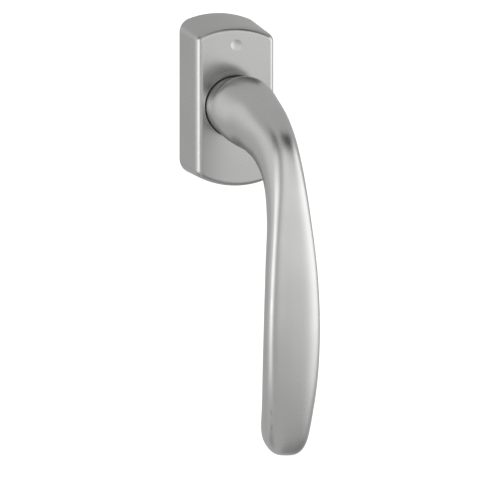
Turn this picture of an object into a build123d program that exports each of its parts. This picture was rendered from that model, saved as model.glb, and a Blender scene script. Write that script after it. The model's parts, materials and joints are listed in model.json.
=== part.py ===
from build123d import *
from math import cos, hypot, pi, sin
import os

# Tilt and turn window handle, closed position: the lever hangs down.
# Frame, in millimetres: +Z up, +X to the right as seen from the room, -Y out of the sash
# into the room. The origin is where the spindle's axis crosses the sash face, which the
# rose's back lies on. "out" below is the distance in front of the sash face, so y = -out,
# and every "back" and "front" is such a distance.

# ---- driving dimensions ----
# Rose cap: round ends about the spindle's axis, sides that lean in a little towards the room.
rose_half_width = 16.0
rose_front_half_width = 15.7
rose_end_radius = 33.7
rose_front_end_radius = 32.2
rose_depth = 12.2
rose_corner_radius = 6.0         # where a side meets a round end, at the sash face
rose_front_corner_radius = 3.2   # and at the front: the corner narrows towards the room
rose_edge_radius = 2.2           # round-over of the front edge
cap_wall = 1.6
cap_inner_edge_radius = 0.8
cap_hole_radius = 12.65
cap_hole_edge_radius = 0.3
cap_travel = 3.0                 # lifts clear of the base plate, so that it can be turned aside
cap_groove_depth = 1.75          # inside groove that snaps over a clip, measured from the wall
cap_groove_half_width = 4.8
dimple_height = 25.0             # shallow round dimple above the neck
dimple_ball_radius = 12.0
dimple_depth = 0.22
guide_radius = 13.4              # plastic ring behind the cap's hole
guide_gap = 0.2                  # between that ring and the neck
guide_depth = 1.7

# Base plate, screwed to the sash.
plate_gap = 0.3                  # to the cap's walls
plate_thickness = cap_travel - 0.2
boss_radius = 14.1
boss_front = 7.4
boss_wall = 0.4                  # left outside the detent springs' pocket
screw_spacing = 43.0             # two countersunk M5 screws
screw_hole_radius = 2.7
screw_head_radius = 4.8
lug_radius = 5.0                 # nylon sleeves that stand in the sash round the screws
lug_length = 4.0
lug_spigot_radius = 4.4          # pressed into the plate
lug_socket_depth = 1.2
lug_relief_radius = 5.2          # shallow relief in the plate's back under the sleeve
lug_relief_depth = 0.15
cover_radius = 13.4              # back cover, let into the plate
cover_hole_radius = 6.4
cover_back = 0.05
cover_front = 0.5
rivet_place = 12.5
rivet_radius = 0.6
recess_radius = 11.3             # detent's recess
recess_front = 3.9
spring_pocket_width = 16.8
spring_pocket_height = 22.8

# Bearing.
bush_radius = 10.5
bush_chamfer = 0.2
flange_radius = 12.2
flange_thickness = 0.8
running_gap = 0.05
washer_gap = 0.1                 # radial gap of both washers on the journal
slide_washer_radius = 10.8

# Detent: a square-notched disc between two leaf springs, one click every quarter turn.
disc_radius = 10.2
disc_back = 1.45
disc_front = 2.75
notch_depth = 0.7
notch_half_width = 2.3
spring_back = 1.5
spring_front = 2.7
spring_half_thickness = 0.2
spring_nose_gap = 0.15
spring_end = (7.8, 11.0)         # x and z of the leaf spring's end, and of its shoulder
spring_shoulder = (2.4, 10.75)
spring_bend_radius = 0.15

# Clips: bowed spring strips in the plate's ends that hold the cap.
clip_back = 0.9
clip_front = 2.1
clip_half_span = 7.0
clip_end_height = 30.2
clip_bow_height = 32.2
clip_thickness = 0.35
clip_gap = 0.15
clip_slot_clearance = 0.5

# Lever's foot.
neck_radius = 12.4
neck_back = 8.8
journal_radius = 9.0
journal_end_radius = 7.0
journal_back = 0.55
flat_half_width = 6.0            # two flats on the journal's end drive the detent disc
drive_gap = 0.03
ring_back = 0.62                 # retaining ring in the journal's groove
ring_front = 1.38
ring_radius = 8.6
ring_groove_radius = 6.6
ring_opening = 3.0
ring_eye_radius = 1.25
ring_eye_hole_radius = 0.55
ring_eye_place = (2.7, 8.7)      # x and z
bore_depth = 31.0
bore_gap = 0.08                  # on each side of the square spindle
pin_out = 6.0                    # the cross pin's distance from the sash face
pin_radius = 1.25
pin_end_gap = 0.3
pin_chamfer = 0.2

# Spindle: a 7 mm square bar, sprung inside the lever.
spindle_size = 7.0
spindle_corner = 0.45
spindle_reach = 20.0             # into the sash, at rest
spindle_engaged = 16.0           # inside the lever, at rest
spindle_travel = 8.0
spindle_point = 1.0
spindle_point_angle = 40.0
slot_gap = 0.1                   # between the cross pin and the bar's long hole
wire_radius = 0.35
coil_radius = 2.9
coil_turns = 6
coil_gap = 0.02

# Lever: points of its centre line (out, z), with the half width, the thickness on its front
# or upper side, and the thickness on its back or lower side there.
lever_stations = [
    (12.2, 0.0, 12.4, 12.4, 12.4),
    (15.2, 0.0, 12.4, 12.5, 12.5),
    (17.0, 0.0, 12.4, 14.4, 13.2),
    (20.0, 0.0, 11.9, 14.7, 13.5),
    (25.0, -0.6, 9.9, 13.5, 13.4),
    (30.9, -2.8, 8.5, 12.2, 12.4),
    (36.8, -6.9, 6.9, 10.4, 11.6),
    (43.1, -16.2, 6.8, 5.7, 8.7),
    (46.5, -30.7, 7.7, 3.6, 7.2),
    (47.9, -50.2, 9.3, 3.4, 7.0),
    (48.1, -70.6, 10.1, 3.4, 6.9),
    (47.0, -90.0, 9.9, 3.8, 6.9),
    (44.7, -107.2, 8.8, 4.4, 6.8),
    (41.2, -123.6, 7.5, 5.3, 6.4),
]
tip_length = 12.5                # length of the lever's rounded end
tip_power = 3.0                  # how square the rounded end is
tip_shares = (0, 0.3, 0.55, 0.74, 0.87, 0.95, 0.985, 0.998)
foot_power = 2.0                 # section exponent at the neck: 2 is a plain ellipse
grip_front_power = 3.0           # from squaring_length on: a flatter front with tight edges
grip_back_power = 2.1            # and a round back
squaring_length = 60.0
section_points = 32
foot_step = 0.1                  # the loft starts this much inside the round foot
foot_section_outs = (11.0, 12.3, 13.8)
long_span = 10.0                 # stations further apart than this get a section between them
slope_step = 4.0                 # a section's slope is taken this far to each side of it


# ---- helpers ----
def room_plane(out):
    """A plane parallel to the sash face; its local x is X and its local y is Z."""
    return Plane.XZ.offset(out)


def disc(radius, back, front, x=0.0, z=0.0):
    return extrude(room_plane(back) * Pos(x, z) * Circle(radius), front - back)


def block(width, height, back, front, x=0.0, z=0.0):
    return extrude(room_plane(back) * Pos(x, z) * Rectangle(width, height), front - back)


def ring(outer, inner, back, front):
    return disc(outer, back, front) - disc(inner, back - 1, front + 1)


def edges_along_y(form):
    return [edge for edge in form.edges() if abs(edge.tangent_at(0.5).Y) > 0.9]


def rose_outline(half_width, end_radius, corner):
    """Two straight sides joined by arcs about the centre, with rounded corners."""
    outline = Circle(end_radius) & Rectangle(2 * half_width, 4 * end_radius)
    return fillet(outline.vertices(), corner)


def rose_form(inset, depth, corner, front_corner, edge):
    """The rose's outside, or its hollow when inset, from its back outline to its front one."""
    share = depth / rose_depth
    half_width = rose_half_width - inset
    end_radius = rose_end_radius - inset
    front_half_width = half_width - (rose_half_width - rose_front_half_width) * share
    front_end_radius = end_radius - (rose_end_radius - rose_front_end_radius) * share
    back_face = room_plane(0) * rose_outline(half_width, end_radius, corner)
    front_face = room_plane(depth) * rose_outline(front_half_width, front_end_radius, front_corner)
    form = loft([back_face, front_face], ruled=True)
    front_edges = form.faces().sort_by(Axis.Y)[0].edges()
    return fillet(front_edges, edge)


def between(knots, values, place):
    """Smooth curve through values at knots, with finite-difference slopes."""
    last = len(knots) - 1
    slopes = []
    for i in range(last + 1):
        low = max(i - 1, 0)
        high = min(i + 1, last)
        slopes.append((values[high] - values[low]) / (knots[high] - knots[low]))
    i = max(k for k in range(last) if knots[k] <= place or k == 0)
    gap = knots[i + 1] - knots[i]
    t = (place - knots[i]) / gap
    start = values[i] * (2 * t**3 - 3 * t**2 + 1) + slopes[i] * gap * (t**3 - 2 * t**2 + t)
    end = values[i + 1] * (3 * t**2 - 2 * t**3) + slopes[i + 1] * gap * (t**3 - t**2)
    return start + end


# ---- the rose: what is screwed to the sash ----
def make_plate_blank():
    """The plate's outline, which the cap's walls fit round, with the bearing's boss."""
    share = plate_thickness / rose_depth
    inset = cap_wall + plate_gap
    half_width = rose_half_width - inset - (rose_half_width - rose_front_half_width) * share
    end_radius = rose_end_radius - inset - (rose_end_radius - rose_front_end_radius) * share
    outline = rose_outline(half_width, end_radius, rose_corner_radius - cap_wall)
    plate = extrude(room_plane(0) * outline, plate_thickness)
    return plate + disc(boss_radius, plate_thickness, boss_front)


def make_screw_seat(side):
    """What a countersunk screw and its support lug take out of the plate."""
    z = side * screw_spacing / 2
    sink = screw_head_radius - screw_hole_radius
    seat = disc(screw_hole_radius, 0, plate_thickness, 0, z)
    cone = Cone(screw_hole_radius, screw_head_radius, sink)
    seat += room_plane(plate_thickness - sink / 2) * Pos(0, z) * cone
    seat += disc(lug_spigot_radius, 0, lug_socket_depth, 0, z)
    return seat + disc(lug_relief_radius, 0, lug_relief_depth, 0, z)


def make_clip_slot(side):
    """Slot in the plate's end that one clip lies in."""
    low = clip_end_height - clip_slot_clearance
    width = 2 * (clip_half_span + clip_slot_clearance)
    height = rose_end_radius - low
    return block(width, height, clip_back - 0.1, clip_front + 0.1, 0, side * (low + height / 2))


def make_base_plate():
    plate = make_plate_blank()
    for side in (-1, 1):
        plate -= make_screw_seat(side)
        plate -= make_clip_slot(side)
        plate -= disc(rivet_radius, 0, recess_front, side * rivet_place, 0)
    plate -= disc(cover_radius + 0.1, 0, cover_front)
    plate -= disc(recess_radius, 0, recess_front)
    pocket = block(spring_pocket_width, spring_pocket_height, 0, spring_front + 0.2)
    plate -= pocket & disc(boss_radius - boss_wall, 0, recess_front)
    return plate - disc(bush_radius, 0, boss_front)


def make_back_cover():
    """Thin steel disc that closes the detent's recess against the sash."""
    cover = ring(cover_radius, cover_hole_radius, cover_back, cover_front)
    for side in (-1, 1):
        cover -= disc(rivet_radius, 0, cover_front, side * rivet_place, 0)
    return cover


def make_cover_rivet(side):
    """Flush rivet that holds the back cover to the base plate."""
    return disc(rivet_radius, cover_back, recess_front - 0.1, side * rivet_place, 0)


def make_bearing_bush():
    hole = journal_radius + running_gap
    tube = ring(bush_radius, hole, recess_front + running_gap, boss_front)
    flange = ring(flange_radius, hole, boss_front, boss_front + flange_thickness)
    bush = tube + flange
    rim = bush.edges().filter_by(GeomType.CIRCLE).sort_by(Axis.Y)[0:2]
    return chamfer(rim, bush_chamfer)


def make_thrust_washer():
    back = boss_front + flange_thickness + 0.02
    return ring(flange_radius - 0.2, journal_radius + washer_gap, back, neck_back - 0.03)


def make_detent_spring(side):
    """Leaf spring whose V-shaped nose drops into a notch of the detent disc."""
    nose = (0, disc_radius - notch_depth + spring_nose_gap + spring_half_thickness)
    right = [spring_shoulder, spring_end]
    left = [(-x, z) for x, z in reversed(right)]
    middle = left + [nose] + right
    above = [(x, z + spring_half_thickness) for x, z in middle]
    below = [(x, z - spring_half_thickness) for x, z in reversed(middle)]
    outline = make_face(Polyline(*above, *below, close=True))
    leaf = extrude(room_plane(spring_back) * outline, spring_front - spring_back)
    inner = (spring_end[0] + spring_shoulder[0]) / 2
    bends = [edge for edge in edges_along_y(leaf) if abs(edge.center().X) < inner]
    leaf = fillet(bends, spring_bend_radius)
    return leaf if side > 0 else leaf.rotate(Axis.Y, 180)


def make_cap_clip(side):
    """Bowed spring strip in the base plate's end; the cap's inside groove snaps over it."""
    rise = clip_bow_height - clip_end_height
    bow_radius = (clip_half_span**2 + rise**2) / (2 * rise)
    centre = clip_bow_height - bow_radius
    strip = disc(bow_radius, clip_back, clip_front, 0, centre)
    strip -= disc(bow_radius - clip_thickness, clip_back, clip_front, 0, centre)
    low = clip_end_height - clip_thickness
    height = clip_bow_height + 1 - low
    clip = strip & block(2 * clip_half_span, height, clip_back, clip_front, 0, low + height / 2)
    return clip if side > 0 else clip.rotate(Axis.Y, 180)


def make_support_lug(side):
    """Nylon sleeve that stands into the sash round a screw, pressed into the base plate."""
    z = side * screw_spacing / 2
    lug = disc(lug_radius, -lug_length, 0, 0, z)
    lug += disc(lug_spigot_radius, 0, lug_socket_depth, 0, z)
    return lug - disc(screw_hole_radius, -lug_length, lug_socket_depth, 0, z)


# ---- the cap, which lifts off the base plate ----
def make_rose_cap():
    cap = rose_form(0, rose_depth, rose_corner_radius, rose_front_corner_radius, rose_edge_radius)
    corner = rose_corner_radius - cap_wall
    cap -= rose_form(cap_wall, rose_depth - cap_wall, corner, corner, cap_inner_edge_radius)
    cap -= disc(cap_hole_radius, 0, rose_depth + 1)
    hole_edge = [
        edge
        for edge in cap.edges().filter_by(GeomType.CIRCLE)
        if abs(edge.radius - cap_hole_radius) < 0.01 and edge.center().Y < 0.1 - rose_depth
    ]
    cap = fillet(hole_edge, cap_hole_edge_radius)
    groove_width = 2 * cap_groove_half_width
    for side in (-1, 1):
        groove = disc(clip_bow_height + clip_gap, clip_back - 0.2, clip_front + 0.2)
        reach = side * (rose_end_radius - cap_wall)
        cap -= groove & block(groove_width, 10, 0, plate_thickness, 0, reach)
    dimple_out = rose_depth + dimple_ball_radius - dimple_depth
    return cap - Pos(0, -dimple_out, dimple_height) * Sphere(dimple_ball_radius)


def make_cap_guide_ring():
    """Plastic ring behind the cap's hole that centres the cap on the neck."""
    front = rose_depth - cap_wall
    guide = ring(guide_radius, neck_radius + guide_gap, front - guide_depth, front)
    inner = guide.edges().filter_by(GeomType.CIRCLE).sort_by(SortBy.RADIUS)[0:2]
    return chamfer(inner, guide_gap / 2)


# ---- the handle, which turns on the base plate ----
def lever_section(out, z, lean_out, lean_z, half_width, front, back, front_power, back_power):
    """Cross-section square to the centre line. Each half is |x/a|^n + |t/b|^n = 1."""
    points = []
    for i in range(section_points):
        angle = 2 * pi * (i + 0.5) / section_points
        c = cos(angle)
        s = sin(angle)
        side = 1 if c > 0 else -1
        power = front_power if s > 0 else back_power
        x = half_width * side * abs(c) ** (2 / power)
        t = front * s ** (2 / power) if s > 0 else -back * (-s) ** (2 / power)
        points.append(Vector(x, -(out - lean_z * t), z + lean_out * t))
    return Face(Wire(Spline(*points, periodic=True)))


def lever_lengths():
    """Centre-line length from the first station to each station."""
    along = [0.0]
    for first, second in zip(lever_stations, lever_stations[1:]):
        along.append(along[-1] + hypot(second[0] - first[0], second[1] - first[1]))
    return along


def lever_section_at(place):
    """The cross-section at a centre-line length."""
    along = lever_lengths()
    columns = list(zip(*lever_stations))
    out, z, half_width, front, back = [between(along, column, place) for column in columns]
    low = max(place - slope_step, 0)
    high = min(place + slope_step, along[-1])
    run_out = between(along, columns[0], high) - between(along, columns[0], low)
    run_z = between(along, columns[1], high) - between(along, columns[1], low)
    run = hypot(run_out, run_z)
    past = max(0.0, (place - (along[-1] - tip_length)) / tip_length)
    shrink = (1 - past**tip_power) ** (1 / tip_power)
    squared = min(place / squaring_length, 1)
    front_power = foot_power + (grip_front_power - foot_power) * squared
    back_power = foot_power + (grip_back_power - foot_power) * squared
    sizes = [size * shrink for size in (half_width, front, back)]
    return lever_section(out, z, run_out / run, run_z / run, *sizes, front_power, back_power)


def make_lever_body():
    """Neck and grip: a round foot, and a loft from inside it to a small flat at the very tip."""
    along = lever_lengths()
    body_end = along[-1] - tip_length
    places = [place for place in along[1:] if place < body_end - 2]
    spans = zip(along[1:], along[2:])
    places += [(a + b) / 2 for a, b in spans if b < body_end and b - a > long_span]
    places += [body_end + tip_length * share for share in tip_shares]
    foot = neck_radius - foot_step
    powers = (foot_power, foot_power)
    sections = [lever_section(out, 0, 1, 0, foot, foot, foot, *powers) for out in foot_section_outs]
    sections += [lever_section_at(place) for place in sorted(places)]
    return loft(sections) + disc(neck_radius, neck_back, lever_stations[0][0])


def make_pin_hole():
    length = 2 * journal_radius + 2
    return Pos(0, -pin_out, 0) * Rot(0, 90, 0) * Cylinder(pin_radius, length)


def make_lever():
    body = make_lever_body()
    shoulder = disc_front + drive_gap
    body += disc(journal_radius, shoulder, neck_back)
    body += disc(journal_end_radius, journal_back, shoulder)
    for side in (-1, 1):
        flat_width = journal_end_radius - flat_half_width + 1
        flat_middle = side * (flat_half_width + flat_width / 2)
        body -= block(flat_width, 2 * journal_end_radius, 0, shoulder, flat_middle, 0)
    body -= ring(journal_end_radius + 1, ring_groove_radius, ring_back - 0.05, ring_front + 0.05)
    bore = spindle_size + 2 * bore_gap
    return body - block(bore, bore, 0, bore_depth) - make_pin_hole()


def make_cross_pin():
    """Steel pin through the journal; the bush around it keeps it in."""
    length = 2 * (journal_radius - pin_end_gap)
    pin = Pos(0, -pin_out, 0) * Rot(0, 90, 0) * Cylinder(pin_radius, length)
    return chamfer(pin.edges().filter_by(GeomType.CIRCLE), pin_chamfer)


def make_detent_disc():
    plate = disc(disc_radius, disc_back, disc_front)
    drive_width = 2 * (flat_half_width + drive_gap)
    drive = block(drive_width, 3 * journal_end_radius, 0, disc_front)
    plate -= drive & disc(journal_end_radius + drive_gap, 0, disc_front)
    rim = disc_radius + 0.3
    for turn in range(4):
        corners = [(-notch_half_width, rim), (0, disc_radius - notch_depth), (notch_half_width, rim)]
        notch = make_face(Polyline(*corners, close=True))
        plate -= extrude(room_plane(0) * notch, disc_front).rotate(Axis.Y, 90 * turn)
    return plate


def make_slide_washer():
    hole = journal_radius + washer_gap
    return ring(slide_washer_radius, hole, disc_front + running_gap, recess_front - running_gap)


def make_retaining_ring():
    """Snap ring in the journal's groove: open at one side, with two eyes."""
    clip = ring(ring_radius, ring_groove_radius + 0.02, ring_back, ring_front)
    clip -= block(ring_opening, ring_radius, 0, ring_front, 0, ring_radius)
    x, z = ring_eye_place
    for side in (-1, 1):
        clip += disc(ring_eye_radius, ring_back, ring_front, side * x, z)
        clip -= disc(ring_eye_hole_radius, 0, ring_front, side * x, z)
    return clip


# ---- the spindle, sprung inside the lever ----
def make_slot(length, radius):
    """A long hole's shape, running along Y and passing through along X."""
    straight = length - 2 * radius
    slot = Box(2 * spindle_size, straight, 2 * radius)
    for y in (-straight / 2, straight / 2):
        slot += Pos(0, y, 0) * Rot(0, 90, 0) * Cylinder(radius, 2 * spindle_size)
    return slot


def make_spindle():
    """Square bar with a long hole, so that it can sink into the lever past the cross pin."""
    outline = Rectangle(spindle_size, spindle_size)
    outline = chamfer(outline.vertices(), spindle_corner)
    start = room_plane(spindle_point - spindle_reach)
    bar = extrude(start * outline, spindle_reach - spindle_point + spindle_engaged)
    into_sash = Plane(start.origin, x_dir=(1, 0, 0), z_dir=(0, 1, 0))
    bar += extrude(into_sash * outline, spindle_point, taper=spindle_point_angle)
    radius = pin_radius + slot_gap
    length = spindle_travel + 2 * radius
    middle = length / 2 - pin_out - radius
    return bar - Pos(0, middle, 0) * make_slot(length, radius)


def make_spindle_spring():
    """Coil spring between the spindle's end and the bottom of the lever's bore."""
    start = spindle_engaged + wire_radius + coil_gap
    height = bore_depth - wire_radius - 2 * coil_gap - start
    path = Helix(pitch=height / coil_turns, height=height, radius=coil_radius)
    section = Plane(path @ 0, z_dir=path % 0) * Circle(wire_radius)
    return Pos(0, -start, 0) * Rot(90, 0, 0) * sweep(section, path=path)


parts = {
    "base_plate": make_base_plate(),
    "back_cover": make_back_cover(),
    "cover_rivet_left": make_cover_rivet(-1),
    "cover_rivet_right": make_cover_rivet(1),
    "bearing_bush": make_bearing_bush(),
    "thrust_washer": make_thrust_washer(),
    "detent_spring_upper": make_detent_spring(1),
    "detent_spring_lower": make_detent_spring(-1),
    "cap_clip_upper": make_cap_clip(1),
    "cap_clip_lower": make_cap_clip(-1),
    "support_lug_upper": make_support_lug(1),
    "support_lug_lower": make_support_lug(-1),
    "rose_cap": make_rose_cap(),
    "cap_guide_ring": make_cap_guide_ring(),
    "lever": make_lever(),
    "detent_disc": make_detent_disc(),
    "slide_washer": make_slide_washer(),
    "retaining_ring": make_retaining_ring(),
    "cross_pin": make_cross_pin(),
    "spindle": make_spindle(),
    "spindle_spring": make_spindle_spring(),
}

os.makedirs("parts", exist_ok=True)
for name, part in parts.items():
    export_step(part, f"parts/{name}.step")
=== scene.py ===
import json
from math import cos, hypot, pi, radians, sin

import bmesh
import bpy
from mathutils import Matrix, Vector


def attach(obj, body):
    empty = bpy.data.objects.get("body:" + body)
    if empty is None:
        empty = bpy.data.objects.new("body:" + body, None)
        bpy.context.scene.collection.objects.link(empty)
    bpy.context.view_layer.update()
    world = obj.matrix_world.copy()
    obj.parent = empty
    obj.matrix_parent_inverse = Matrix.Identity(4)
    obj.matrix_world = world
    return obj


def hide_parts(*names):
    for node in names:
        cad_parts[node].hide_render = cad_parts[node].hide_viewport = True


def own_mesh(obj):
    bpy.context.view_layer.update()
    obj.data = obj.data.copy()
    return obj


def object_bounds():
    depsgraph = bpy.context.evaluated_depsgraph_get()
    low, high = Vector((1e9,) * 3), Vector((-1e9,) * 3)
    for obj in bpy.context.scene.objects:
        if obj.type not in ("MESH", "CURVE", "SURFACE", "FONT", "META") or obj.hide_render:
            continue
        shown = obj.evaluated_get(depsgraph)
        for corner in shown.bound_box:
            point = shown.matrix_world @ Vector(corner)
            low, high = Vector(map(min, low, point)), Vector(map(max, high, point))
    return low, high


# A tilt and turn window handle in satin anodised aluminium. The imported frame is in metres:
# +Z up, -Y out of the sash into the room, the origin on the spindle's axis at the sash face.
# "out" is the distance in front of the sash face, so y = -out, and the shapes below are
# written in millimetres, as the design is.
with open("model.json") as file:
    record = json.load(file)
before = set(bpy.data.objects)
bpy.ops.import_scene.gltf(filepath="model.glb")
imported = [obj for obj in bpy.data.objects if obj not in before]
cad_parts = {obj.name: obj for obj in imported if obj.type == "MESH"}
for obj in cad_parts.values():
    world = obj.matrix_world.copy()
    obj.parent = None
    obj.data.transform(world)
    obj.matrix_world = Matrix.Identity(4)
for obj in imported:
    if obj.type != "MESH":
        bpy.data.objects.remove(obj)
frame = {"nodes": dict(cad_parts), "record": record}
cad_low, cad_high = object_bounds()
scene = bpy.context.scene
mm = 0.001


# ---- materials ----
def new_material(name, metallic):
    """A Principled material, with its nodes, links and shader."""
    material = bpy.data.materials.new(name)
    material.use_nodes = True
    nodes = material.node_tree.nodes
    links = material.node_tree.links
    shader = nodes["Principled BSDF"]
    shader.inputs["Metallic"].default_value = metallic
    return material, nodes, links, shader


def object_coordinates(nodes, links, stretch=(1, 1, 1)):
    """Object coordinates; a stretch below 1 draws the pattern out along that axis."""
    place = nodes.new("ShaderNodeTexCoord")
    scale = nodes.new("ShaderNodeMapping")
    scale.inputs["Scale"].default_value = stretch
    links.new(place.outputs["Object"], scale.inputs["Vector"])
    return scale.outputs["Vector"]


def noise(nodes, links, where, size, detail=3, roughness=0.5):
    """Noise whose blobs are about size metres across, with finer detail in them."""
    texture = nodes.new("ShaderNodeTexNoise")
    texture.inputs["Scale"].default_value = 1 / size
    texture.inputs["Detail"].default_value = detail
    texture.inputs["Roughness"].default_value = roughness
    links.new(where, texture.inputs["Vector"])
    return texture.outputs["Fac"]


def remap(nodes, links, factor, low, high, start=0.3, end=0.7):
    """Maps start to end onto low to high; noise lies mostly between 0.3 and 0.7."""
    ramp = nodes.new("ShaderNodeMapRange")
    ramp.inputs["From Min"].default_value = start
    ramp.inputs["From Max"].default_value = end
    ramp.inputs["To Min"].default_value = low
    ramp.inputs["To Max"].default_value = high
    links.new(factor, ramp.inputs["Value"])
    return ramp.outputs["Result"]


def add(nodes, links, first, second):
    total = nodes.new("ShaderNodeMath")
    total.operation = "ADD"
    links.new(first, total.inputs[0])
    links.new(second, total.inputs[1])
    return total.outputs["Value"]


def two_tone(nodes, links, factor, first, second):
    """The first colour where the factor is 0, the second where it is 1."""
    mix = nodes.new("ShaderNodeMix")
    mix.data_type = "RGBA"
    mix.inputs["A"].default_value = (*first, 1)
    mix.inputs["B"].default_value = (*second, 1)
    links.new(factor, mix.inputs["Factor"])
    return mix.outputs["Result"]


def add_bump(nodes, links, shader, height, distance, strength, under=None):
    """Bumps the shader's surface, on top of the bump given as under."""
    bump = nodes.new("ShaderNodeBump")
    bump.inputs["Distance"].default_value = distance
    bump.inputs["Strength"].default_value = strength
    links.new(height, bump.inputs["Height"])
    if under is not None:
        links.new(under, bump.inputs["Normal"])
    links.new(bump.outputs["Normal"], shader.inputs["Normal"])
    return bump.outputs["Normal"]


def satin_aluminium(name, light, dark):
    """Fine-blasted and anodised: a tight matt grain, faint cloudiness, and sharp edges rubbed
    smoother by hands."""
    material, nodes, links, shader = new_material(name, 1.0)
    where = object_coordinates(nodes, links)
    cloud = noise(nodes, links, where, 16 * mm, detail=2)
    grain = noise(nodes, links, where, 0.25 * mm, detail=4, roughness=0.6)
    speckle = noise(nodes, links, where, 0.8 * mm, detail=2)
    tone = two_tone(nodes, links, remap(nodes, links, cloud, 0, 1), light, dark)
    links.new(tone, shader.inputs["Base Color"])
    surface = nodes.new("ShaderNodeNewGeometry")
    pointiness = surface.outputs["Pointiness"]
    rubbed = remap(nodes, links, pointiness, 0.0, -0.06, start=0.51, end=0.6)
    fine = remap(nodes, links, grain, 0.27, 0.32)
    broad = remap(nodes, links, cloud, -0.012, 0.012)
    rough = add(nodes, links, add(nodes, links, fine, broad), rubbed)
    links.new(rough, shader.inputs["Roughness"])
    soft = add_bump(nodes, links, shader, speckle, 0.001 * mm, 0.15)
    add_bump(nodes, links, shader, grain, 0.003 * mm, 0.3, soft)
    return material


def cast_zinc(name):
    """Raw zinc die casting: dull and blotchy, with flow marks."""
    light = (0.40, 0.41, 0.42)
    dark = (0.27, 0.28, 0.30)
    material, nodes, links, shader = new_material(name, 1.0)
    where = object_coordinates(nodes, links, (1, 1, 0.35))
    blotch = noise(nodes, links, where, 3 * mm, detail=5, roughness=0.65)
    grain = noise(nodes, links, where, 0.3 * mm)
    tone = two_tone(nodes, links, remap(nodes, links, blotch, 0, 1), light, dark)
    links.new(tone, shader.inputs["Base Color"])
    links.new(remap(nodes, links, blotch, 0.4, 0.62), shader.inputs["Roughness"])
    add_bump(nodes, links, shader, grain, 0.01 * mm, 0.6)
    return material


def rolled_steel(name, light, dark, smooth, rough):
    """Stamped or drawn steel: fine rolling lines and a little staining."""
    material, nodes, links, shader = new_material(name, 1.0)
    lines = noise(nodes, links, object_coordinates(nodes, links, (1, 0.08, 1)), 0.12 * mm, detail=2)
    stain = noise(nodes, links, object_coordinates(nodes, links), 2.5 * mm, detail=4)
    tone = two_tone(nodes, links, remap(nodes, links, stain, 0, 1), light, dark)
    links.new(tone, shader.inputs["Base Color"])
    links.new(remap(nodes, links, lines, smooth, rough), shader.inputs["Roughness"])
    add_bump(nodes, links, shader, lines, 0.003 * mm, 0.5)
    return material


def moulded_nylon(name):
    """Black moulded nylon with a fine spark-eroded texture."""
    light = (0.035, 0.035, 0.038)
    dark = (0.02, 0.02, 0.022)
    material, nodes, links, shader = new_material(name, 0.0)
    where = object_coordinates(nodes, links)
    texture = noise(nodes, links, where, 0.25 * mm)
    cloud = noise(nodes, links, where, 4 * mm, detail=2)
    tone = two_tone(nodes, links, remap(nodes, links, cloud, 0, 1), light, dark)
    links.new(tone, shader.inputs["Base Color"])
    links.new(remap(nodes, links, texture, 0.42, 0.6), shader.inputs["Roughness"])
    add_bump(nodes, links, shader, texture, 0.01 * mm, 0.5)
    return material


lever_light = (0.605, 0.61, 0.60)
lever_dark = (0.575, 0.58, 0.57)
# Painted shade: the cap's copy of the satin aluminium is darker than the lever's, to stand in for less
# light falling on the rose.
cap_light_painted_shade = (0.56, 0.565, 0.555)
cap_dark_painted_shade = (0.53, 0.535, 0.525)
finishes = {
    "lever_aluminium": satin_aluminium("satin_lever", lever_light, lever_dark),
    # the cap's darker copy of the same finish is painted shade for the rose
    "cap_aluminium": satin_aluminium("satin_cap_painted_shade", cap_light_painted_shade, cap_dark_painted_shade),
    "zinc": cast_zinc("cast_zinc"),
    "steel": rolled_steel("bright_steel", (0.52, 0.52, 0.53), (0.42, 0.42, 0.43), 0.25, 0.42),
    "spring_steel": rolled_steel("blue_spring_steel", (0.24, 0.25, 0.28), (0.16, 0.16, 0.19), 0.22, 0.36),
    "plated_steel": rolled_steel("zinc_plated_steel", (0.66, 0.67, 0.66), (0.56, 0.57, 0.55), 0.2, 0.34),
    "polyamide": moulded_nylon("black_nylon"),
}


def dress(piece, slot):
    """Gives a piece or a CAD node its slot's finish."""
    piece.data.materials.clear()
    piece.data.materials.append(finishes[slot])


for part in frame["record"]["subparts"]:
    dress(frame["nodes"][part["node"]], part["material_slot"])


# ---- mesh helpers ----
def link_mesh(name, form):
    """Turns a bmesh into a linked object with its faces turned outwards."""
    bmesh.ops.recalc_face_normals(form, faces=form.faces)
    mesh = bpy.data.meshes.new(name)
    form.to_mesh(mesh)
    form.free()
    piece = bpy.data.objects.new(name, mesh)
    scene.collection.objects.link(piece)
    return piece


def tube_through(name, rings):
    """A closed skin through rings of points, with a fan at each end."""
    form = bmesh.new()
    rows = [[form.verts.new(point) for point in ring] for ring in rings]
    count = len(rings[0])
    for first, second in zip(rows, rows[1:]):
        for i in range(count):
            j = (i + 1) % count
            form.faces.new((first[i], first[j], second[j], second[i]))
    for row in (rows[0], rows[-1]):
        middle = form.verts.new(sum((v.co for v in row), Vector()) / count)
        for i in range(count):
            form.faces.new((middle, row[i], row[(i + 1) % count]))
    return link_mesh(name, form)


def smooth(piece, sharp_angle):
    """Smooth shading, except over edges sharper than an angle in degrees."""
    piece.data.shade_smooth()
    piece.data.set_sharp_from_angle(angle=radians(sharp_angle))


def drill(piece, cutter):
    """Cuts one object's shape out of another for good."""
    cut = piece.modifiers.new("drill", "BOOLEAN")
    cut.object = cutter
    cut.solver = "EXACT"
    solid = piece.evaluated_get(bpy.context.evaluated_depsgraph_get())
    mesh = bpy.data.meshes.new_from_object(solid)
    piece.modifiers.clear()
    piece.data = mesh
    bpy.data.objects.remove(cutter)


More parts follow.
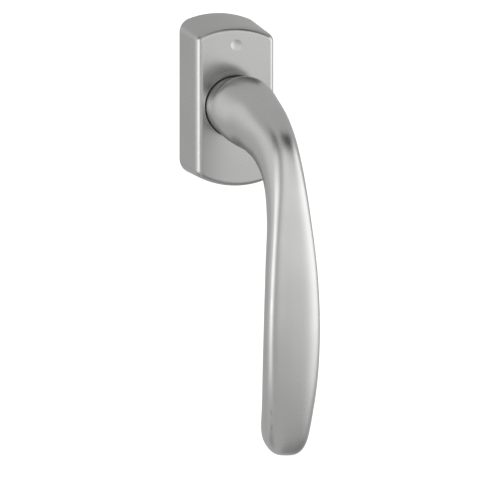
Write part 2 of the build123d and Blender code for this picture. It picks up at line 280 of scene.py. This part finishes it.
# ---- the lever ----
# Points of its centre line (out, z), with the half width, the thickness on its front or upper
# side, and the thickness on its back or lower side there.
lever_stations = [
    (12.2, 0.0, 12.4, 12.4, 12.4),
    (15.2, 0.0, 12.4, 12.5, 12.5),
    (17.0, 0.0, 12.4, 14.4, 13.2),
    (20.0, 0.0, 11.9, 14.7, 13.5),
    (25.0, -0.6, 9.9, 13.5, 13.4),
    (30.9, -2.8, 8.5, 12.2, 12.4),
    (36.8, -6.9, 6.9, 10.4, 11.6),
    (43.1, -16.2, 6.8, 5.7, 8.7),
    (46.5, -30.7, 7.7, 3.6, 7.2),
    (47.9, -50.2, 9.3, 3.4, 7.0),
    (48.1, -70.6, 10.1, 3.4, 6.9),
    (47.0, -90.0, 9.9, 3.8, 6.9),
    (44.7, -107.2, 8.8, 4.4, 6.8),
    (41.2, -123.6, 7.5, 5.3, 6.4),
]
tip_length = 12.5             # length of the lever's rounded end
tip_power = 3.0               # how square that end is
foot_power = 2.0              # section exponent at the neck: 2 is a plain ellipse
grip_front_power = 3.0        # from squaring_length on: a flatter front with tight edges
grip_back_power = 2.1         # and a round back
squaring_length = 60.0
slope_step = 4.0              # a section's slope is taken this far to each side of it
points_round = 128            # a multiple of 8, so that the square bore has its corners
rows_along = 150
rows_at_tip = 26
lever_sharp_angle = 35        # degrees

# Its foot: the neck, and the journal that turns in the rose.
neck_radius = 12.4
neck_back = 8.8
neck_chamfer = 0.25
journal_radius = 9.0
journal_shoulder = 2.78
journal_end_radius = 7.0
journal_back = 0.55
journal_chamfer = 0.2
flat_half_width = 6.0         # two flats on the journal's end
groove_radius = 6.6           # retaining ring's groove
groove_back = 0.57
groove_front = 1.43
bore_half_width = 3.58        # square bore for the spindle
bore_depth = 31.0
bore_rows = 8
bore_end_shares = (0.2, 0.6, 1)
pin_out = 6.0                 # cross pin's hole
pin_radius = 1.25
pin_points = 32
pin_overshoot = 1             # the cutter stands out this much at each end


def between(knots, values, place):
    """Smooth curve through values at knots, with finite-difference slopes."""
    last = len(knots) - 1
    slopes = []
    for i in range(last + 1):
        low = max(i - 1, 0)
        high = min(i + 1, last)
        slopes.append((values[high] - values[low]) / (knots[high] - knots[low]))
    i = max(k for k in range(last) if knots[k] <= place or k == 0)
    gap = knots[i + 1] - knots[i]
    t = (place - knots[i]) / gap
    start = values[i] * (2 * t**3 - 3 * t**2 + 1) + slopes[i] * gap * (t**3 - 2 * t**2 + t)
    end = values[i + 1] * (3 * t**2 - 2 * t**3) + slopes[i + 1] * gap * (t**3 - t**2)
    return start + end


def lever_section(out, z, run_out, run_z, half_width, front, back, front_power, back_power):
    """Ring square to the centre line's direction. Each half is |x/a|^n + |t/b|^n = 1."""
    ring = []
    for i in range(points_round):
        angle = 2 * pi * i / points_round
        c = cos(angle)
        s = sin(angle)
        side = 1 if c > 0 else -1
        power = front_power if s > 0 else back_power
        x = half_width * side * abs(c) ** (2 / power)
        t = front * s ** (2 / power) if s > 0 else -back * (-s) ** (2 / power)
        ring.append(Vector((x, -(out - run_z * t), z + run_out * t)) * mm)
    return ring


def round_ring(out, radius):
    """A round ring about the spindle's axis."""
    return lever_section(out, 0, 1, 0, radius, radius, radius, foot_power, foot_power)


def flatted_ring(out, radius):
    """A round ring about the spindle's axis with a flat on each side."""
    limit = flat_half_width * mm
    return [Vector((max(-limit, min(limit, p.x)), p.y, p.z)) for p in round_ring(out, radius)]


def square_ring(out, half_width):
    """A square ring about the spindle's axis."""
    ring = []
    for i in range(points_round):
        angle = 2 * pi * i / points_round
        reach = half_width / max(abs(cos(angle)), abs(sin(angle)))
        ring.append(Vector((reach * cos(angle), -out, reach * sin(angle))) * mm)
    return ring


def lever_lengths():
    """Centre-line length from the first station to each station."""
    along = [0.0]
    for first, second in zip(lever_stations, lever_stations[1:]):
        along.append(along[-1] + hypot(second[0] - first[0], second[1] - first[1]))
    return along


def lever_ring(along, place):
    """The ring at a centre-line length."""
    columns = list(zip(*lever_stations))
    out, z, half_width, front, back = [between(along, column, place) for column in columns]
    low = max(place - slope_step, 0)
    high = min(place + slope_step, along[-1])
    run_out = between(along, columns[0], high) - between(along, columns[0], low)
    run_z = between(along, columns[1], high) - between(along, columns[1], low)
    run = hypot(run_out, run_z)
    past = max(0.0, (place - (along[-1] - tip_length)) / tip_length)
    shrink = (1 - past**tip_power) ** (1 / tip_power)
    squared = min(place / squaring_length, 1)
    front_power = foot_power + (grip_front_power - foot_power) * squared
    back_power = foot_power + (grip_back_power - foot_power) * squared
    sizes = [size * shrink for size in (half_width, front, back)]
    return lever_section(out, z, run_out / run, run_z / run, *sizes, front_power, back_power)


def foot_rings():
    """From the bottom of the square bore, back out of the journal's end, and up to the neck."""
    mouth = journal_back + journal_chamfer
    rings = [square_ring(bore_depth, bore_half_width * share) for share in bore_end_shares]
    for row in range(1, bore_rows + 1):
        rings.append(square_ring(bore_depth + (mouth - bore_depth) * row / bore_rows, bore_half_width))
    rings.append(square_ring(journal_back, bore_half_width + journal_chamfer))
    flatted = [
        (journal_back, journal_end_radius),
        (groove_back, journal_end_radius),
        (groove_back, groove_radius),
        (groove_front, groove_radius),
        (groove_front, journal_end_radius),
        (journal_shoulder, journal_end_radius),
    ]
    rings += [flatted_ring(out, radius) for out, radius in flatted]
    turned = [
        (journal_shoulder, journal_radius - journal_chamfer),
        (journal_shoulder + journal_chamfer, journal_radius),
        (neck_back, journal_radius),
        (neck_back, neck_radius - neck_chamfer),
        (neck_back + neck_chamfer, neck_radius),
    ]
    rings += [round_ring(out, radius) for out, radius in turned]
    return rings


def pin_ring(x):
    """A ring about the cross pin's axis."""
    angles = [2 * pi * i / pin_points for i in range(pin_points)]
    return [Vector((x, -(pin_out + pin_radius * cos(a)), pin_radius * sin(a))) * mm for a in angles]


def make_lever():
    """One closed skin: the bore, the journal, the neck and the grip, with the pin's hole cut."""
    along = lever_lengths()
    body_end = along[-1] - tip_length
    rings = foot_rings()
    rings += [lever_ring(along, body_end * i / rows_along) for i in range(rows_along)]
    tip = [sin(pi / 2 * i / rows_at_tip) for i in range(rows_at_tip)]
    rings += [lever_ring(along, body_end + tip_length * share) for share in tip]
    lever = tube_through("lever_casting", rings)
    pin_half = journal_radius + pin_overshoot
    drill(lever, tube_through("pin_cutter", [pin_ring(-pin_half), pin_ring(pin_half)]))
    smooth(lever, lever_sharp_angle)
    dress(lever, "lever_aluminium")
    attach(lever, "handle")
    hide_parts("lever")


# ---- the spindle's coil spring ----
spring_start = 16.37          # out, where the wire's middle starts and ends
spring_end = 30.6
coil_radius = 2.9
wire_radius = 0.35
coil_turns = 6
steps_per_turn = 40
wire_points = 14
spring_sharp_angle = 40       # degrees


def make_spindle_spring():
    """Sits against the bottom of the bore."""
    length = spring_end - spring_start
    steps = coil_turns * steps_per_turn
    climb = length / (2 * pi * coil_turns)
    rings = []
    for step in range(steps + 1):
        turn = 2 * pi * step / steps_per_turn
        radial = Vector((cos(turn), 0, sin(turn)))
        forward = Vector((-coil_radius * sin(turn), -climb, coil_radius * cos(turn))).normalized()
        side = forward.cross(radial)
        centre = Vector((0, -(spring_start + length * step / steps), 0)) + radial * coil_radius
        angles = [2 * pi * i / wire_points for i in range(wire_points)]
        rings.append([(centre + (radial * cos(a) + side * sin(a)) * wire_radius) * mm for a in angles])
    spring = tube_through("coil_spring", rings)
    smooth(spring, spring_sharp_angle)
    dress(spring, "spring_steel")
    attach(spring, "handle")
    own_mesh(spring)
    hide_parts("spindle_spring")


make_lever()
make_spindle_spring()


# ---- camera ----
# The view is oblique: the picture plane is parallel to the rose, though the camera stands to
# the left and above. Distances are in metres.
camera_distance = 1.0              # in front of the sash face
camera_left = 0.595                # for each metre in front
camera_above = 0.385
sensor_width = 36                  # millimetres
picture_width = 0.2041             # of the sash plane, across the picture
aim = Vector((0.0128, 0, -0.0631))


def make_camera():
    """The camera's parent slants it into the oblique view, so it needs no shift."""
    data = bpy.data.cameras.new("camera")
    camera = bpy.data.objects.new("camera", data)
    stand = bpy.data.objects.new("camera_stand", None)
    scene.collection.objects.link(camera)
    scene.collection.objects.link(stand)
    place = Vector((-camera_left, -1, camera_above)) * camera_distance
    back = (place - aim) / camera_distance
    camera.parent = stand
    camera.matrix_parent_inverse = Matrix((
        (1, 0, back.x, place.x),
        (0, 0, back.y, place.y),
        (0, 1, back.z, place.z),
        (0, 0, 0, 1),
    ))
    data.sensor_width = sensor_width
    data.lens = sensor_width * camera_distance * back.length / picture_width
    data.dof.use_dof = False
    scene.camera = camera


# ---- studio ----
studio_grey = 0.56
# Soft lights all round. Bearing is measured from straight in front of the rose, with the right
# side above zero, and height from level. Bearing, height and half width are in degrees.
# A brightness below zero is a black card that keeps light away.
soft_lights = [
    # bearing, height, half width, brightness
    (60, -10, 30, 1.3),      # large light at the right
    (15, 0, 30, 0.6),        # fill from the front
    (-50, -10, 30, 1.3),     # large light at the left
    (-80, -15, 30, 0.5),     # the same light's far end
    (-120, 0, 30, 0.3),      # rim light from behind
    (-50, 20, 30, -0.4),     # cards above, left and right
    (50, 15, 30, -0.4),
    (25, 30, 25, -0.4),      # card over the neck
    (70, -45, 30, -0.3),     # cards below, right and left
    (-65, -45, 30, -0.2),
]
floor_half_width = 6.0
floor_drop = 0.6                   # metres below the handle
floor_colour = (0.9, 0.9, 0.9)
floor_roughness = 0.8
floor_glow = 0.7


def direction_of(bearing, height):
    """Unit vector towards a light, with the front of the rose facing -Y."""
    level = cos(radians(height))
    return Vector((level * sin(radians(bearing)), -level * cos(radians(bearing)), sin(radians(height))))


def make_world():
    """White where the camera sees it directly; a grey studio with soft lights in reflections."""
    world = bpy.data.worlds.new("studio")
    scene.world = world
    world.use_nodes = True
    nodes = world.node_tree.nodes
    links = world.node_tree.links
    nodes.clear()
    place = nodes.new("ShaderNodeTexCoord")
    total = nodes.new("ShaderNodeValue").outputs["Value"]
    total.default_value = studio_grey
    for bearing, height, half_width, brightness in soft_lights:
        facing = nodes.new("ShaderNodeVectorMath")
        facing.operation = "DOT_PRODUCT"
        facing.inputs[1].default_value = direction_of(bearing, height)
        links.new(place.outputs["Generated"], facing.inputs[0])
        falloff = nodes.new("ShaderNodeMapRange")
        falloff.interpolation_type = "SMOOTHSTEP"
        falloff.inputs["From Min"].default_value = cos(radians(half_width))
        falloff.inputs["From Max"].default_value = 1
        falloff.inputs["To Max"].default_value = brightness
        links.new(facing.outputs["Value"], falloff.inputs["Value"])
        total = add(nodes, links, total, falloff.outputs["Result"])
    studio = nodes.new("ShaderNodeBackground")
    links.new(total, studio.inputs["Strength"])
    white = nodes.new("ShaderNodeBackground")
    ray = nodes.new("ShaderNodeLightPath")
    mix = nodes.new("ShaderNodeMixShader")
    output = nodes.new("ShaderNodeOutputWorld")
    white.inputs["Color"].default_value = (1, 1, 1, 1)
    studio.inputs["Color"].default_value = (1, 1, 1, 1)
    links.new(ray.outputs["Is Camera Ray"], mix.inputs["Fac"])
    links.new(studio.outputs["Background"], mix.inputs[1])
    links.new(white.outputs["Background"], mix.inputs[2])
    links.new(mix.outputs["Shader"], output.inputs["Surface"])


def make_floor():
    """A plain white floor, far enough below the handle to stay out of its reflections."""
    half = floor_half_width
    level = cad_low.z - floor_drop
    corners = [(-half, -half, level), (half, -half, level), (half, half, level), (-half, half, level)]
    mesh = bpy.data.meshes.new("floor")
    mesh.from_pydata(corners, [], [(0, 1, 2, 3)])
    floor = bpy.data.objects.new("floor", mesh)
    scene.collection.objects.link(floor)
    material, _, _, shader = new_material("floor_white", 0.0)
    shader.inputs["Base Color"].default_value = (*floor_colour, 1)
    shader.inputs["Roughness"].default_value = floor_roughness
    shader.inputs["Emission Color"].default_value = (1, 1, 1, 1)
    shader.inputs["Emission Strength"].default_value = floor_glow
    mesh.materials.append(material)
    floor.visible_glossy = False
    floor.visible_diffuse = False


make_camera()
make_world()
make_floor()
scene.view_settings.view_transform = "Standard"
